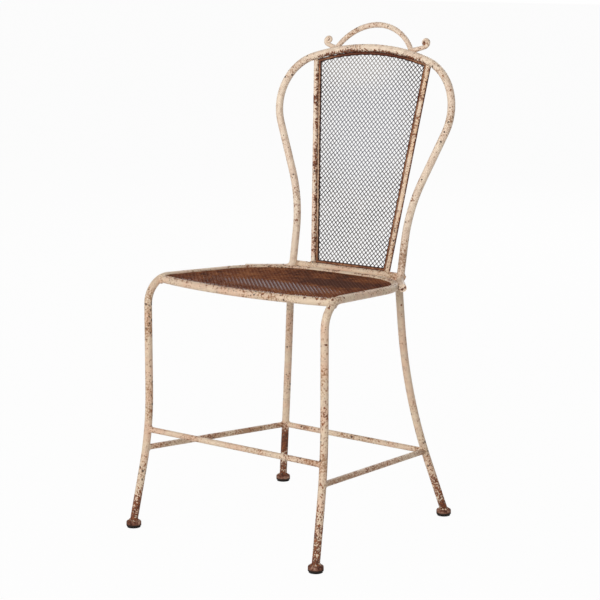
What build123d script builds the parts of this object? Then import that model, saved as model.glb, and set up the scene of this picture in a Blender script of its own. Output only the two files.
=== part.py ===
from build123d import *
import os
from math import acos, cos, degrees, radians, sin, sqrt, tan

os.makedirs("parts", exist_ok=True)

# Iron garden chair of bent round bar, with wire mesh in the seat and the back.
# Millimetres. The sitter faces -Y, the floor is Z = 0 and X = 0 is the plane of symmetry.
# Depths are counted back from the line on which the front legs stand upright.

# Diameters of the round bars
frame_rod = 14.0
stretcher_rod = 10.5
stile_rod = 9.5
back_rail_rod = 12.0
crest_rod = 10.5

# How far a welded bar is let into its neighbour, and how high a leg's hollowed end reaches up its bar
weld_bite = 1.5
cope_depth = 4.0

# Disc feet and the pads under them
foot_diameter = 27.0
foot_height = 9.0
foot_round = 3.0
pad_diameter = 24.0
pad_thickness = 3.0

# Front legs, each one bar with the side rail of the seat
front_leg_x = 199.5
front_foot_x = 209.7
front_foot_kick = 38.0
front_knee_height = 178.0
front_knee_radius = 650.0
seat_bend_radius = 46.0

# Seat ring, a level outline tipped back by the rake
seat_height = 455.2
seat_rake = 2.74
seat_corner_x = 171.0
seat_corner_depth = 305.5
seat_corner_radius = 125.0
seat_back_bow = 10.0
seat_back_straight = 11.2
splice_straight = 4.5
front_rail_depth = 33.0
front_rail_bow = 32.0
front_rail_drop = 4.0

# Rear legs, placed from the hoop's start
rear_leg_inset = 4.2
rear_knee_spread = 14.0
rear_knee_kick = 2.5
rear_knee_height = 230.0
rear_knee_radius = 1050.0
rear_foot_spread = 69.1
rear_foot_kick = 55.8

# Back hoop: two feet laid along the seat ring, two uprights, two shoulders and a crown
hoop_x = 124.5
hoop_setback = 17.0
hoop_foot_length = 91.0
hoop_foot_bend = 14.0
hoop_recline = 10.1
neck_x = 126.0
neck_rise = 128.2
neck_radius = 290.0
shoulder_x = 231.0
shoulder_rise = 238.0
shoulder_wrap = 5.0
crown_rise = 66.7
crown_sweep = 11.0
crown_share = 0.541
slope_straight = 4.4

# Back panel: bottom rail, two stiles, a flat edging and the mesh
back_rail_rise = 6.8
back_rail_bite = 3.4
stile_foot_x = 85.7
stile_top_x = 129.5
stile_foot_setback = 3.8
stile_foot_lift = 3.4
stile_top_setback = 7.0
edging_width = 7.0
edging_thickness = 4.0
edging_tuck = 0.5
edging_foot_drop = 2.0
edging_crown_gap = 6.0
panel_setback = 2.0

# Crest: a bow on two pointed feet that run out into curls
crest_foot_x = 89.0
crest_bow_radius = 100.5
crest_foot_radius = 8.0
crest_recline = 20.0
crest_seat_angle = 50.0
crest_arm_rise = 17.0
crest_arm_length = 22.0
crest_curl_radius = 5.2
crest_curl_turn = 275.0

# Mesh sheets, drawn with few large diamonds; the seat's lies a little above the middle of its bars
mesh_thickness = 2.0
seat_mesh_lift = 2.0
mesh_pitch = 32.0
mesh_web = 5.0

# Stretchers between the legs
front_stretcher_height = 177.5
side_stretcher_front = 144.0
rear_stretcher_height = 123.2

# The seat's plane leans back, so its local Y runs from the front legs towards the back
foot_top = pad_thickness + foot_height
rake = radians(seat_rake)
lean = radians(crest_recline)


def mirrored(point):
    """The same point on the other side of the chair."""
    return Vector(-point.X, point.Y, point.Z)


# Where the hoop's uprights start, and how far back they lean at a height
hoop_depth = seat_corner_depth + hoop_setback
hoop_start_depth = hoop_depth * cos(rake)
hoop_start_height = seat_height - hoop_depth * sin(rake)


def back_depth(height):
    """Depth of the hoop's leaning plane at a height."""
    return hoop_start_depth + (height - hoop_start_height) * tan(radians(hoop_recline))


neck_height = hoop_start_height + neck_rise
shoulder_height = neck_height + shoulder_rise
peak_height = shoulder_height + crown_rise
neck_point = Vector(neck_x, back_depth(neck_height), neck_height)
shoulder_point = Vector(shoulder_x, back_depth(shoulder_height) - shoulder_wrap, shoulder_height)
peak_point = Vector(0, back_depth(peak_height) + crown_sweep, peak_height)

# Crown and shoulder arcs share the slope between their corners; crown_fall points down the crown
slope = peak_point - shoulder_point
flare = shoulder_point - neck_point
crown_fall = Vector(0, -slope.Y, -slope.Z).normalized()
crown_half_turn = acos(shoulder_x / slope.length)
crown_radius = slope.length * crown_share / tan(crown_half_turn)
shoulder_half_turn = radians(flare.get_angle(slope)) / 2
shoulder_radius = (slope.length * (1 - crown_share) - slope_straight) / tan(shoulder_half_turn)
crown_top = peak_point + crown_fall * (crown_radius * (1 / cos(crown_half_turn) - 1))


def crown_sag(x):
    """How far the crown has fallen at a distance from the middle."""
    return crown_radius - sqrt(crown_radius**2 - x**2)


# The crest stands on the back of the crown's top edge
crest_reach = crest_bow_radius + crest_foot_radius
crest_rise = crest_reach - sqrt(crest_reach**2 - crest_foot_x**2)
crest_offset = (frame_rod + crest_rod) / 2 - weld_bite
crest_tip = radians(crest_seat_angle)
crest_seat = crown_top + crown_fall * crown_sag(crest_foot_x)
crest_seat = crest_seat + Vector(0, crest_offset * sin(crest_tip), crest_offset * cos(crest_tip))

# The origin is in the middle of the chair's length on the floor
front_foot_share = 1 - foot_top / front_knee_height
front_reach = -front_foot_kick * front_foot_share - foot_diameter / 2
back_reach = crest_seat.Y + crest_rise * sin(lean) + crest_rod / 2
leg_line = -(front_reach + back_reach) / 2
to_frame = Vector(0, leg_line, 0)

seat_plane = Plane(
    origin=(0, leg_line, seat_height), x_dir=(1, 0, 0), z_dir=(0, sin(rake), cos(rake))
)
crest_plane = Plane(
    origin=crest_seat + to_frame, x_dir=(1, 0, 0), z_dir=(0, -cos(lean), sin(lean))
)

# Seat ring in the seat's plane: the side runs from the leg's corner to the rear corner
side_start = Vector(front_leg_x, 0)
rear_corner = Vector(seat_corner_x, seat_corner_depth)
rear_middle = Vector(0, seat_corner_depth + seat_back_bow)
side_way = (rear_corner - side_start).normalized()
back_way = (rear_middle - rear_corner).normalized()
corner_half_turn = acos(side_way.dot(back_way)) / 2
corner_reach = seat_corner_radius * tan(corner_half_turn)
corner_start = rear_corner - side_way * corner_reach
back_reach_left = (rear_middle - rear_corner).length - corner_reach - seat_back_straight
seat_back_radius = back_reach_left * seat_corner_x / seat_back_bow
corner_centre = corner_start + side_way.rotate(Axis.Z, 90) * seat_corner_radius
splice = corner_start - side_way * splice_straight
front_rail_end = side_start + side_way * front_rail_depth

# Each hoop foot lies outside the ring's rear corner, tangent to it and let in by the weld
foot_start = Vector(hoop_x, hoop_depth)
foot_circle = seat_corner_radius + frame_rod - weld_bite
foot_arm = foot_start - corner_centre
foot_angle = degrees(acos(foot_circle / foot_arm.length))
foot_touch = corner_centre + foot_arm.normalized().rotate(Axis.Z, -foot_angle) * foot_circle
foot_end = foot_start + (foot_touch - foot_start).normalized() * hoop_foot_length


def on_seat(point):
    """A point of the seat's plane in the chair's frame."""
    return seat_plane.from_local_coords(Vector(point.X, point.Y, 0))


def axis_at(path, height):
    """Point of a leg's centre line at a height below the seat, found by halving."""
    low = 0.0
    high = 0.5
    for _ in range(40):
        middle = (low + high) / 2
        if (path @ middle).Z < height:
            low = middle
        else:
            high = middle
    return path @ low


sides = {"left": -1, "right": 1}

# Front legs: foot, knee, bend under the front corner, then the side rail to its splice
front_legs = {}
front_paths = {}
for side, sign in sides.items():
    leg_points = [
        Vector(sign * front_foot_x, leg_line - front_foot_kick, 0),
        Vector(sign * front_leg_x, leg_line, front_knee_height),
        Vector(sign * front_leg_x, leg_line, seat_height),
        on_seat(Vector(sign * splice.X, splice.Y)),
    ]
    with BuildPart() as front_leg:
        with BuildLine() as leg_path:
            FilletPolyline(*leg_points, radius=[front_knee_radius, seat_bend_radius])
        with BuildSketch(leg_path.line ^ 0):
            Circle(frame_rod / 2)
        sweep()
        split(bisect_by=Plane.XY.offset(foot_top), keep=Keep.TOP)
    front_leg.part.label = f"front_{side}_leg"
    export_step(front_leg.part, f"parts/front_{side}_leg.step")
    front_legs[side] = front_leg.part
    front_paths[side] = leg_path.wire()

# Rear bar of the seat ring, from splice to splice round the two rear corners
with BuildPart() as seat_rear_bar:
    with BuildLine(seat_plane):
        rear_line = FilletPolyline(
            (splice.X, splice.Y),
            (seat_corner_x, seat_corner_depth),
            (0, rear_middle.Y),
            (-seat_corner_x, seat_corner_depth),
            (-splice.X, splice.Y),
            radius=[seat_corner_radius, seat_back_radius, seat_corner_radius],
        )
    with BuildSketch(rear_line ^ 0):
        Circle(frame_rod / 2)
    sweep()
seat_rear_bar.part.label = "seat_rear_bar"
export_step(seat_rear_bar.part, "parts/seat_rear_bar.step")

# Front rail of the seat, bowed towards the sitter's knees and welded low on the legs' bends
with BuildPart() as seat_front_rail:
    with BuildLine(seat_plane.offset(-front_rail_drop)):
        front_line = ThreePointArc(
            (front_rail_end.X, front_rail_end.Y),
            (0, front_rail_end.Y - front_rail_bow),
            (-front_rail_end.X, front_rail_end.Y),
        )
    with BuildSketch(front_line ^ 0):
        Circle(frame_rod / 2)
    sweep()
    for leg in front_legs.values():
        add(leg, mode=Mode.SUBTRACT)
seat_front_rail.part.label = "seat_front_rail"
export_step(seat_front_rail.part, "parts/seat_front_rail.step")

# Back hoop, one bar from foot to foot
hoop_half = [
    on_seat(foot_end),
    on_seat(foot_start),
    neck_point + to_frame,
    shoulder_point + to_frame,
]
hoop_points = [mirrored(point) for point in hoop_half] + [peak_point + to_frame] + hoop_half[::-1]
half_radii = [hoop_foot_bend, neck_radius, shoulder_radius]
with BuildPart() as back_hoop:
    with BuildLine() as hoop_path:
        FilletPolyline(*hoop_points, radius=half_radii + [crown_radius] + half_radii[::-1])
    with BuildSketch(hoop_path.line ^ 0):
        Circle(frame_rod / 2)
    sweep()
    add(seat_rear_bar.part, mode=Mode.SUBTRACT)
back_hoop.part.label = "back_hoop"
export_step(back_hoop.part, "parts/back_hoop.step")

# Rear legs, splayed back and out, with their tops hollowed to fit under the hoop's feet
rear_legs = {}
rear_paths = {}
rear_line = leg_line + hoop_depth
rear_knee_x = hoop_x + rear_knee_spread
rear_foot_x = hoop_x + rear_foot_spread
rear_top = hoop_start_height - frame_rod / 2 + cope_depth
for side, sign in sides.items():
    leg_points = [
        Vector(sign * rear_foot_x, rear_line + rear_foot_kick, 0),
        Vector(sign * rear_knee_x, rear_line + rear_knee_kick, rear_knee_height),
        Vector(sign * hoop_x, rear_line - rear_leg_inset, rear_top),
    ]
    with BuildPart() as rear_leg:
        with BuildLine() as leg_path:
            FilletPolyline(*leg_points, radius=[rear_knee_radius])
        with BuildSketch(leg_path.line ^ 0):
            Circle(frame_rod / 2)
        sweep()
        split(bisect_by=Plane.XY.offset(foot_top), keep=Keep.TOP)
        add(back_hoop.part, mode=Mode.SUBTRACT)
    rear_leg.part.label = f"rear_{side}_leg"
    export_step(rear_leg.part, f"parts/rear_{side}_leg.step")
    rear_legs[side] = rear_leg.part
    rear_paths[side] = leg_path.wire()

# Front and rear stretchers run from leg to leg across the chair
cross_bars = {
    "front_stretcher": (front_paths, front_legs, front_stretcher_height),
    "rear_stretcher": (rear_paths, rear_legs, rear_stretcher_height),
}
cross_parts = {}
for name, (paths, legs, height) in cross_bars.items():
    with BuildPart() as cross_bar:
        with BuildLine() as bar_path:
            Line(axis_at(paths["left"], height), axis_at(paths["right"], height))
        with BuildSketch(bar_path.line ^ 0):
            Circle(stretcher_rod / 2)
        sweep()
        for leg in legs.values():
            add(leg, mode=Mode.SUBTRACT)
    cross_bar.part.label = name
    export_step(cross_bar.part, f"parts/{name}.step")
    cross_parts[name] = cross_bar.part

# Side stretchers fall a little towards the rear legs and butt beside the rear stretcher
for side in sides:
    bar_start = axis_at(front_paths[side], side_stretcher_front)
    bar_end = axis_at(rear_paths[side], rear_stretcher_height)
    with BuildPart() as side_bar:
        with BuildLine() as bar_path:
            Line(bar_start, bar_end)
        with BuildSketch(bar_path.line ^ 0):
            Circle(stretcher_rod / 2)
        sweep()
        for neighbour in (front_legs[side], rear_legs[side], cross_parts["rear_stretcher"]):
            add(neighbour, mode=Mode.SUBTRACT)
    side_bar.part.label = f"{side}_stretcher"
    export_step(side_bar.part, f"parts/{side}_stretcher.step")

# Disc feet with rounded tops, each standing on a thin black pad
front_foot = Vector(
    front_leg_x + (front_foot_x - front_leg_x) * front_foot_share,
    leg_line - front_foot_kick * front_foot_share,
)
rear_foot_share = 1 - foot_top / rear_knee_height
rear_foot = Vector(
    rear_knee_x + (rear_foot_x - rear_knee_x) * rear_foot_share,
    rear_line + rear_knee_kick + (rear_foot_kick - rear_knee_kick) * rear_foot_share,
)
for end, spot in {"front": front_foot, "rear": rear_foot}.items():
    for side, sign in sides.items():
        with BuildPart() as foot:
            with BuildSketch(Plane.XY.offset(pad_thickness)):
                with Locations((sign * spot.X, spot.Y)):
                    Circle(foot_diameter / 2)
            extrude(amount=foot_height)
            fillet(foot.edges().group_by(Axis.Z)[-1], radius=foot_round)
        foot.part.label = f"{end}_{side}_foot"
        export_step(foot.part, f"parts/{end}_{side}_foot.step")
        with BuildPart() as pad:
            with BuildSketch(Plane.XY):
                with Locations((sign * spot.X, spot.Y)):
                    Circle(pad_diameter / 2)
            extrude(amount=pad_thickness)
        pad.part.label = f"{end}_{side}_pad"
        export_step(pad.part, f"parts/{end}_{side}_pad.step")

# Bottom rail of the back, welded across the backs of the hoop's uprights
back_rail_height = hoop_start_height + back_rail_rise
back_rail_depth = back_depth(back_rail_height) + (frame_rod + back_rail_rod) / 2 - back_rail_bite
back_rail_mid = Vector(0, back_rail_depth, back_rail_height) + to_frame
back_rail_end = Vector(hoop_x, 0, 0)
with BuildPart() as back_rail:
    with BuildLine() as rail_path:
        Line(back_rail_mid - back_rail_end, back_rail_mid + back_rail_end)
    with BuildSketch(rail_path.line ^ 0):
        Circle(back_rail_rod / 2)
    sweep()
    add(back_hoop.part, mode=Mode.SUBTRACT)
back_rail.part.label = "back_bottom_rail"
export_step(back_rail.part, "parts/back_bottom_rail.step")

# Stiles from the back of the bottom rail up to the back of the crown
stile_share = (shoulder_x - stile_top_x) / shoulder_x
stile_top = shoulder_point + (peak_point - shoulder_point) * stile_share + to_frame
stile_top = stile_top + Vector(0, stile_top_setback, 0)
stile_foot = back_rail_mid + Vector(0, stile_foot_setback, stile_foot_lift)
stile_parts = []
for side, sign in sides.items():
    stile_start = stile_foot + Vector(sign * stile_foot_x, 0, 0)
    with BuildPart() as stile:
        with BuildLine() as stile_path:
            Line(stile_start, Vector(sign * stile_top.X, stile_top.Y, stile_top.Z))
        with BuildSketch(stile_path.line ^ 0):
            Circle(stile_rod / 2)
        sweep()
        add(back_hoop.part, mode=Mode.SUBTRACT)
        add(back_rail.part, mode=Mode.SUBTRACT)
    stile.part.label = f"{side}_stile"
    export_step(stile.part, f"parts/{side}_stile.step")
    stile_parts.append(stile.part)

# Plane of the back panel, a little behind the middles of the stiles
panel_up = Vector(0, stile_top.Y - stile_foot.Y, stile_top.Z - stile_foot.Z)
panel_length = panel_up.length
panel_up = panel_up.normalized()
panel_plane = Plane(origin=stile_foot, x_dir=(1, 0, 0), z_dir=(0, -panel_up.Z, panel_up.Y))
panel_plane = panel_plane.offset(-panel_setback)
panel_crown = panel_plane.to_local_coords(crown_top + to_frame).Y - edging_crown_gap
panel_fall = -crown_fall.dot(panel_up)
panel_foot = back_rail_rod / 2 - stile_foot_lift - edging_foot_drop
panel_inset = stile_rod / 2 - edging_tuck


def panel_half_width(run):
    """Half width between the stiles' inner edges at a distance up the panel."""
    return stile_foot_x + (stile_top_x - stile_foot_x) * run / panel_length - panel_inset


panel_top_half = panel_half_width(panel_crown - crown_sag(stile_top_x) * panel_fall)
panel_shoulder = panel_crown - crown_sag(panel_top_half) * panel_fall


def panel_edges():
    """Outline of the panel between rail, stiles and crown, in the panel's own plane."""
    foot_half = panel_half_width(panel_foot)
    with BuildLine() as outline:
        Polyline(
            (panel_top_half, panel_shoulder),
            (foot_half, panel_foot),
            (-foot_half, panel_foot),
            (-panel_top_half, panel_shoulder),
        )
        ThreePointArc(
            (-panel_top_half, panel_shoulder), (0, panel_crown), (panel_top_half, panel_shoulder)
        )
    return outline.edges()


def netting(outline):
    """One face with staggered diamond gaps, each of them whole inside the outline."""
    box = outline.bounding_box()
    columns = int(box.size.X / mesh_pitch / 2) + 1
    rows = int(box.size.Y / mesh_pitch) + 1
    keep = mesh_pitch / 2
    tip = keep - mesh_web / sqrt(2)
    gaps = []
    for stagger in (0.0, keep):
        for column in range(-columns, columns + 1):
            for row in range(rows + 1):
                x = column * mesh_pitch + stagger
                y = box.min.Y + row * mesh_pitch + stagger
                reach = [(x - keep, y), (x, y - keep), (x + keep, y), (x, y + keep)]
                if all(outline.is_inside(Vector(*point)) for point in reach):
                    corners = [(x - tip, y), (x, y - tip), (x + tip, y), (x, y + tip)]
                    gaps.append(Wire.make_polygon(corners, close=True))
    return Face(outline.outer_wire(), gaps)


# Flat edging that holds the back mesh inside its frame of bars
with BuildPart() as back_edging:
    with BuildSketch(panel_plane):
        make_face(panel_edges())
        offset(amount=-edging_width, kind=Kind.INTERSECTION, mode=Mode.SUBTRACT)
    extrude(amount=edging_thickness / 2, both=True)
    for neighbour in (back_hoop.part, back_rail.part, *stile_parts):
        add(neighbour, mode=Mode.SUBTRACT)
back_edging.part.label = "back_mesh_edging"
export_step(back_edging.part, "parts/back_mesh_edging.step")

# Back mesh, filling the edging
with BuildSketch() as back_opening:
    make_face(panel_edges())
    offset(amount=-edging_width, kind=Kind.INTERSECTION)
back_net = netting(back_opening.face())
with BuildPart() as back_mesh:
    with BuildSketch(panel_plane.offset(-mesh_thickness / 2)):
        add(back_net)
    extrude(amount=mesh_thickness)
back_mesh.part.label = "back_mesh"
export_step(back_mesh.part, "parts/back_mesh.step")


# The net's edge meets the bars above their middles, and the low front rail nearer to its top
net_rise = seat_mesh_lift - mesh_thickness / 2
net_inset = sqrt((frame_rod / 2) ** 2 - net_rise**2)
net_front_inset = sqrt((frame_rod / 2) ** 2 - (net_rise + front_rail_drop) ** 2)
net_front = side_start + side_way * (front_rail_depth - net_inset + net_front_inset)


def seat_edges():
    """Outline of the seat's net, grown by its inset from the bars, in the seat's own plane."""
    with BuildLine() as outline:
        FilletPolyline(
            (net_front.X, net_front.Y),
            (seat_corner_x, seat_corner_depth),
            (0, rear_middle.Y),
            (-seat_corner_x, seat_corner_depth),
            (-net_front.X, net_front.Y),
            radius=[seat_corner_radius, seat_back_radius, seat_corner_radius],
        )
        ThreePointArc(
            (-net_front.X, net_front.Y),
            (0, net_front.Y - front_rail_bow),
            (net_front.X, net_front.Y),
        )
    return outline.edges()


# Seat mesh, reaching to the ring's bars on all sides
with BuildSketch() as seat_opening:
    make_face(seat_edges())
    offset(amount=-net_inset, kind=Kind.INTERSECTION)
seat_net = netting(seat_opening.face())
with BuildPart() as seat_mesh:
    with BuildSketch(seat_plane.offset(net_rise)):
        add(seat_net)
    extrude(amount=mesh_thickness)
seat_mesh.part.label = "seat_mesh"
export_step(seat_mesh.part, "parts/seat_mesh.step")

# Crest: half of the bow, a pointed foot, an arm and a curl, then its mirror image
crest_half_turn = degrees(acos(sqrt(crest_reach**2 - crest_foot_x**2) / crest_reach))
with BuildPart() as crest:
    with BuildLine(crest_plane) as crest_path:
        bow = JernArc((0, crest_rise), (1, 0), crest_bow_radius, -crest_half_turn)
        toe = JernArc(bow @ 1, bow % 1, crest_foot_radius, crest_half_turn + crest_arm_rise)
        arm = Line(toe @ 1, toe @ 1 + (toe % 1) * crest_arm_length)
        JernArc(arm @ 1, arm % 1, crest_curl_radius, crest_curl_turn)
        mirror(about=Plane.YZ)
    with BuildSketch(crest_path.wire() ^ 0):
        Circle(crest_rod / 2)
    sweep(path=crest_path.wire())
    add(back_hoop.part, mode=Mode.SUBTRACT)
crest.part.label = "crest"
export_step(crest.part, "parts/crest.step")
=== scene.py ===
# %% [markdown]
# An old iron garden chair. Its bars are round iron, bent and welded, and painted cream long ago.
# The bars come ready from the CAD model, so this lesson adds what CAD leaves out: the woven wire of
# seat and back, the folded strip that binds it, the weld beads, and the worn paint and rust.
# Everything is in metres in one frame. Sizes are written in millimetres, as a smith would note them.

# %% Load the chair's solids
import bpy
import numpy as np
from mathutils import Matrix, Vector


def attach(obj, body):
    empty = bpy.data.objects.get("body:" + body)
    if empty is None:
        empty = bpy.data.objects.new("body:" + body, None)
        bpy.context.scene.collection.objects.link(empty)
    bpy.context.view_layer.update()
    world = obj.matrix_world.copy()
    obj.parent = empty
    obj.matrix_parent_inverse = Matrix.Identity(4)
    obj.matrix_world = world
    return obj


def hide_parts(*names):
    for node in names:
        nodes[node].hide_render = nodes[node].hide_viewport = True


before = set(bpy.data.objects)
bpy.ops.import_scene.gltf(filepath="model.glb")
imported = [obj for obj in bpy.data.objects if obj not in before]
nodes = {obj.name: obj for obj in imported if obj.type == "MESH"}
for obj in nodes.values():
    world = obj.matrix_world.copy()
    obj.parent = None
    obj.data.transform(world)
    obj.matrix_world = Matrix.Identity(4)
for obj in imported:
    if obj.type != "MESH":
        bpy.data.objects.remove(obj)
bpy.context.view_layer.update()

# %% [markdown]
# Three helpers carry the whole file. The first turns a hex colour, as a paint chart gives it, into the
# linear numbers that the renderer works with. The second adds one shader node and wires it up. The third
# turns arrays of points and four-cornered faces into a smooth piece that rides on the chair.

# %% Helpers: colours, shader nodes, pieces
MM = 0.001


def linear(code):
    """An sRGB hex colour as linear light: each channel through the sRGB curve, with full cover."""
    channel = np.array([int(code[i:i + 2], 16) for i in (1, 3, 5)]) / 255.0
    light = np.where(channel <= 0.04045, channel / 12.92, ((channel + 0.055) / 1.055) ** 2.4)
    return (*light.tolist(), 1.0)


def add(tree, kind, inputs=None, stops=None, **settings):
    """Adds a node. Inputs hold a value, or the output socket of another node; stops are a ramp's marks."""
    made = tree.nodes.new("ShaderNode" + kind)
    for key, value in settings.items():
        setattr(made, key, value)
    for key, value in (inputs or {}).items():
        if isinstance(value, bpy.types.NodeSocket):
            tree.links.new(value, made.inputs[key])
        else:
            made.inputs[key].default_value = value
    if stops:
        marks = made.color_ramp.elements
        for place, (position, colour) in enumerate(stops):
            mark = marks[place] if place < len(marks) else marks.new(position)
            mark.position, mark.color = position, colour
    return made


def piece(name, points, quads, material):
    """A smooth mesh from points in millimetres (n, 3) and faces (f, 4), riding on the chair."""
    mesh = bpy.data.meshes.new(name)
    mesh.vertices.add(len(points))
    mesh.vertices.foreach_set("co", np.ascontiguousarray(points * MM, np.float32).ravel())
    mesh.loops.add(4 * len(quads))
    mesh.loops.foreach_set("vertex_index", np.ascontiguousarray(quads, np.int32).ravel())
    mesh.polygons.add(len(quads))
    mesh.polygons.foreach_set("loop_start", np.arange(0, 4 * len(quads), 4, dtype=np.int32))
    mesh.polygons.foreach_set("use_smooth", np.ones(len(quads), bool))
    mesh.update(calc_edges=True)
    mesh.validate()
    made = bpy.data.objects.new(name, mesh)
    bpy.context.scene.collection.objects.link(made)
    mesh.materials.append(material)
    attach(made, "root")
    print(name, "triangles", 2 * len(quads))
    return made


# %% [markdown]
# The paint is an old oil enamel, brushed on by hand and chalky now. To the eye it is cream with pinker and
# greyer clouds, a tan freckle where rust bleeds through, dark pinholes, and red-brown patches of bare iron
# where flakes have come off. One recipe makes every painted bar. What differs from bar to bar is how much
# has flaked, how far up from the floor the rust has climbed, and a few spots that have gone at the welds.
# The pattern sizes are widths in millimetres: of clouds, blotches, grains, thick patches and pinholes. On
# real iron the grains and pinholes are finer, and here they are drawn as coarse as they need to be to show.

# %% Material: brushed oil enamel on iron, worn
CREAM, PINK, STONE, PALE = linear("#EDD8C0"), linear("#E9C7AF"), linear("#CCB19A"), linear("#E6CDB6")
TAN, RUST, ORANGE, PIT = linear("#94653A"), linear("#63341F"), linear("#94562F"), linear("#2A1912")
CLOUD, BLOTCH, GRAIN, PATCH, PINHOLE = 40.0, 9.0, 3.2, 75.0, 6.4
CROWN_LOW, CROWN_HIGH = 800.0, 840.0


def enamel(name, flaked, freckle=0.0, rust_top=90.0, rust_full=0.0, spots=(), top=0.0, inner=0.0, under=0.0,
           behind=0.0, tints=(CREAM, PINK)):
    """Cream paint over rust. Iron is bare where three sizes of noise, plus a climb towards the floor, a
    spot's nearness, or a face that looks up, to the chair's middle, away from its front, or down from the
    crown, pass a threshold; on faces to the chair's middle and away from the front this is partly rust and
    partly painted shade.
    Freckles and pinholes lie on top, where a wide noise lets them, with more freckles on faces to the middle."""
    material = bpy.data.materials.new(name)
    material.use_nodes = True
    tree = material.node_tree
    shader = tree.nodes["Principled BSDF"]
    place = add(tree, "TexCoord").outputs["Object"]
    cloud = add(tree, "TexNoise", {"Vector": place, "Scale": 1 / (CLOUD * MM), "Detail": 3.0}).outputs[0]
    blotch = add(tree, "TexNoise", {"Vector": place, "Scale": 1 / (BLOTCH * MM), "Detail": 4.0}).outputs[0]
    grain = add(tree, "TexNoise", {"Vector": place, "Scale": 1 / (GRAIN * MM), "Detail": 2.0}).outputs[0]
    patch = add(tree, "TexNoise", {"Vector": place, "Scale": 1 / (PATCH * MM), "Detail": 2.0}).outputs[0]
    hole = add(tree, "TexVoronoi", {"Vector": place, "Scale": 1 / (PINHOLE * MM)})
    spread = add(tree, "SeparateXYZ", {"Vector": place}).outputs
    facing = add(tree, "SeparateXYZ", {"Vector": add(tree, "NewGeometry").outputs["Normal"]}).outputs

    # Paint: two tints in clouds, greyed in blotches, with tan freckles
    tint = add(tree, "ValToRGB", {"Fac": cloud}, [(0.42, tints[0]), (0.60, tints[1])]).outputs[0]
    greyed = add(tree, "MapRange", {"Value": blotch, "From Min": 0.48, "From Max": 0.70,
                                    "To Max": 0.8}).outputs[0]
    paint = add(tree, "MixRGB", {"Fac": greyed, "Color1": tint, "Color2": STONE}).outputs[0]
    # Faces that look to the chair's middle get tan freckles and bare iron: partly dirt, partly painted shade
    inwards = add(tree, "Math", {0: spread["X"], 1: facing["X"]}, operation="MULTIPLY").outputs[0]
    inner_dirt_and_shade = add(tree, "MapRange", {"Value": inwards, "From Min": -20 * MM, "From Max": -90 * MM,
                                     "To Max": inner}).outputs[0]
    bled = add(tree, "Math", {0: patch, 1: 0.7, 2: -0.35 + freckle}, operation="MULTIPLY_ADD").outputs[0]
    bled = add(tree, "Math", {0: bled, 1: inner_dirt_and_shade}, operation="ADD").outputs[0]
    bled = add(tree, "Math", {0: grain, 1: 0.8, 2: bled}, operation="MULTIPLY_ADD").outputs[0]
    bled = add(tree, "MapRange", {"Value": bled, "From Min": 0.43, "From Max": 0.55,
                                  "To Max": 0.78}).outputs[0]
    freckled = add(tree, "MixRGB", {"Fac": bled, "Color1": paint, "Color2": TAN}).outputs[0]

    # Bare iron: what drives the rust, with painted shade on inner and turned-away faces, is gathered,
    # noise is added, and past a threshold the paint is gone
    climb = add(tree, "MapRange", {"Value": spread["Z"], "From Min": rust_full * MM,
                                   "From Max": rust_top * MM, "To Min": 0.19, "To Max": 0.0}).outputs[0]
    if top:
        rained = add(tree, "MapRange", {"Value": facing["Z"], "From Min": 0.45, "From Max": 0.95,
                                        "To Max": top}).outputs[0]
        climb = add(tree, "Math", {0: climb, 1: rained}, operation="MAXIMUM").outputs[0]
    climb = add(tree, "Math", {0: climb, 1: inner_dirt_and_shade}, operation="MAXIMUM").outputs[0]
    if under:
        below = add(tree, "MapRange", {"Value": facing["Z"], "From Min": 0.15, "From Max": -0.6,
                                       "To Max": under}).outputs[0]
        high = add(tree, "MapRange", {"Value": spread["Z"], "From Min": CROWN_LOW * MM,
                                      "From Max": CROWN_HIGH * MM}).outputs[0]
        climb = add(tree, "Math", {0: below, 1: high, 2: climb}, operation="MULTIPLY_ADD").outputs[0]
    # Faces turned away from the front and its lamps go to bare iron: partly rust, partly painted shade
    if behind:
        turned = add(tree, "MapRange", {"Value": facing["Y"], "From Min": -0.62, "From Max": -0.25,
                                        "To Max": behind}).outputs[0]
        climb = add(tree, "Math", {0: climb, 1: turned}, operation="MAXIMUM").outputs[0]
    for spot, reach, strength in spots:
        gap = add(tree, "VectorMath", {0: place, 1: Vector(spot) * MM}, operation="DISTANCE").outputs["Value"]
        near = add(tree, "MapRange", {"Value": gap, "From Min": 0.0, "From Max": reach * MM,
                                      "To Min": strength, "To Max": 0.0}).outputs[0]
        climb = add(tree, "Math", {0: climb, 1: near}, operation="MAXIMUM").outputs[0]
    for noise, weight in ((cloud, 0.20), (blotch, 0.26), (grain, 0.54)):
        climb = add(tree, "Math", {0: noise, 1: weight, 2: climb}, operation="MULTIPLY_ADD").outputs[0]
    bare = add(tree, "MapRange", {"Value": climb, "From Min": 0.65 - flaked,
                                  "From Max": 0.70 - flaked}).outputs[0]
    iron = add(tree, "ValToRGB", {"Fac": grain}, [(0.34, PIT), (0.50, RUST), (0.68, ORANGE)]).outputs[0]
    body = add(tree, "MixRGB", {"Fac": bare, "Color1": freckled, "Color2": iron}).outputs[0]

    # Pinholes: dark dots of many girths, thicker where the wide noise is high
    chance = add(tree, "SeparateColor", {"Color": hole.outputs["Color"]}).outputs[0]
    girth = add(tree, "MapRange", {"Value": chance, "From Min": 0.30, "From Max": 1.0,
                                   "To Min": -0.05, "To Max": 0.42}).outputs[0]
    thick = add(tree, "MapRange", {"Value": patch, "From Min": 0.40, "From Max": 0.56,
                                   "To Min": 0.45}).outputs[0]
    girth = add(tree, "Math", {0: girth, 1: thick}, operation="MULTIPLY").outputs[0]
    pinned = add(tree, "Math", {0: girth, 1: hole.outputs["Distance"]}, operation="SUBTRACT").outputs[0]
    pinned = add(tree, "MapRange", {"Value": pinned, "From Min": 0.0, "From Max": 0.08,
                                    "To Max": 0.85}).outputs[0]
    colour = add(tree, "MixRGB", {"Fac": pinned, "Color1": body, "Color2": PIT}).outputs[0]

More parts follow.
